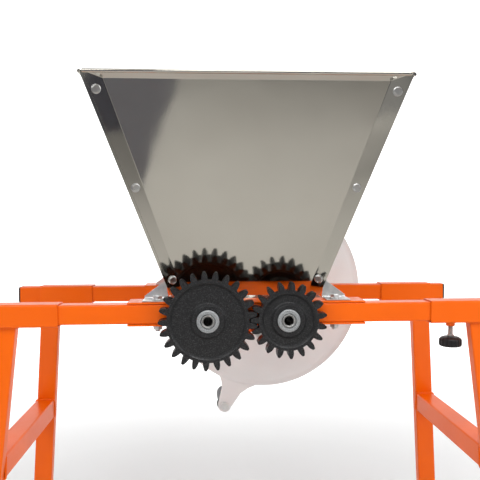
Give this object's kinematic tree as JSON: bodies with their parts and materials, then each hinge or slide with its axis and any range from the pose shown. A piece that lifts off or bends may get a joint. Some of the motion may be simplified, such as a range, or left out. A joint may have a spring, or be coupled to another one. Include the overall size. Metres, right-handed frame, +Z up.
{
  "type": "fruit crusher",
  "caption": "Hand-cranked two-roller fruit and grape crusher: stainless hopper over geared fluted rollers, hand wheel, and a telescoping steel trestle frame.",
  "frame": {"origin": "on the floor, at the middle of the bounding box", "axes": "+Z up, +X along the cross tubes to the clamp knob seen from the gear side, -Y towards the gears, +Y towards the hand wheel"},
  "size_m": [0.8616, 0.5866, 0.9027],
  "materials": {
    "paint": "gloss orange powder coat",
    "stainless": "bright rolled stainless sheet",
    "zinc": "bright zinc plate",
    "steel": "turned steel",
    "aluminium": "cast",
    "bronze": "satin",
    "gear_black": "satin moulded",
    "black_plastic": "satin moulded",
    "wheel_plastic": "pale translucent moulded"
  },
  "bodies": {
    "head": {"front_cross_tube": "paint", "rear_cross_tube": "paint", "front_channel": "paint", "rear_channel": "paint", "side_plate_left": "paint", "side_plate_right": "paint", "hopper_front": "stainless", "hopper_rear": "stainless", "hopper_left": "stainless", "hopper_right": "stainless", "tube_cap_front_left": "black_plastic", "tube_cap_front_right": "black_plastic", "tube_cap_rear_left": "black_plastic", "tube_cap_rear_right": "black_plastic", "hopper_foot_front_left": "zinc", "hopper_foot_front_right": "zinc", "hopper_foot_rear_left": "zinc", "hopper_foot_rear_right": "zinc", "base_bolt_front_left": "zinc", "base_bolt_front_right": "zinc", "base_bolt_rear_left": "zinc", "base_bolt_rear_right": "zinc", "bearing_front_left": "bronze", "bearing_front_right": "bronze", "bearing_rear_left": "bronze", "bearing_rear_right": "bronze"},
    "drive": {"drive_shaft": "steel", "drive_roller": "aluminium", "drive_pinion": "gear_black", "drive_pinion_bush": "steel", "hand_wheel": "wheel_plastic", "wheel_nut": "zinc", "crank_bolt": "zinc"},
    "driven": {"driven_shaft": "steel", "driven_roller": "aluminium", "driven_gear": "gear_black", "driven_gear_bush": "steel"},
    "grip": {"crank_grip": "black_plastic"},
    "left_end_frame": {"left_sleeve_front": "paint", "left_sleeve_rear": "paint", "left_leg_front": "paint", "left_leg_rear": "paint", "left_brace": "paint", "left_foot_front": "black_plastic", "left_foot_rear": "black_plastic", "left_weld_nut": "paint"},
    "left_clamp_screw": {"left_clamp_stud": "steel"},
    "left_clamp_knob": {"left_clamp_knob": "black_plastic"},
    "right_end_frame": {"right_sleeve_front": "paint", "right_sleeve_rear": "paint", "right_leg_front": "paint", "right_leg_rear": "paint", "right_brace": "paint", "right_foot_front": "black_plastic", "right_foot_rear": "black_plastic", "right_weld_nut": "paint"},
    "right_clamp_screw": {"right_clamp_stud": "steel"},
    "right_clamp_knob": {"right_clamp_knob": "black_plastic"}
  },
  "joints": [
    {"name": "crank_turn", "type": "hinge", "parent": "head", "child": "drive", "pos_m": [0.0605, -0.2387, 0.5375], "axis": [0, 1, 0], "continuous": true},
    {"name": "driven_turn", "type": "hinge", "parent": "head", "child": "driven", "pos_m": [-0.0605, -0.2387, 0.5375], "axis": [0, 1, 0], "continuous": true},
    {"name": "grip_turn", "type": "hinge", "parent": "drive", "child": "grip", "pos_m": [-0.02491, 0.1783, 0.27926], "axis": [0, 1, 0], "continuous": true},
    {"name": "left_extend", "type": "slide", "parent": "head", "child": "left_end_frame", "axis": [-1, 0, 0], "range_m": [-0.1, 0.024]},
    {"name": "right_extend", "type": "slide", "parent": "head", "child": "right_end_frame", "axis": [1, 0, 0], "range_m": [-0.1, 0.024]},
    {"name": "left_screw_travel", "type": "slide", "parent": "left_end_frame", "child": "left_clamp_screw", "axis": [0, 0, 1], "range_m": [-0.005, 0]},
    {"name": "left_knob_turn", "type": "hinge", "parent": "left_clamp_screw", "child": "left_clamp_knob", "pos_m": [-0.324, 0.0463, 0.5], "axis": [0, 0, 1], "range_deg": [-1440, 0]},
    {"name": "right_screw_travel", "type": "slide", "parent": "right_end_frame", "child": "right_clamp_screw", "axis": [0, 0, 1], "range_m": [-0.005, 0]},
    {"name": "right_knob_turn", "type": "hinge", "parent": "right_clamp_screw", "child": "right_clamp_knob", "pos_m": [0.324, -0.2237, 0.5], "axis": [0, 0, 1], "range_deg": [-1440, 0]}
  ],
  "couplings": [
    {"joint": "driven_turn", "follows": "crank_turn", "ratio": -0.76},
    {"joint": "left_knob_turn", "follows": "left_screw_travel", "rad_per_m": 5026.5},
    {"joint": "right_knob_turn", "follows": "right_screw_travel", "rad_per_m": 5026.5}
  ]
}
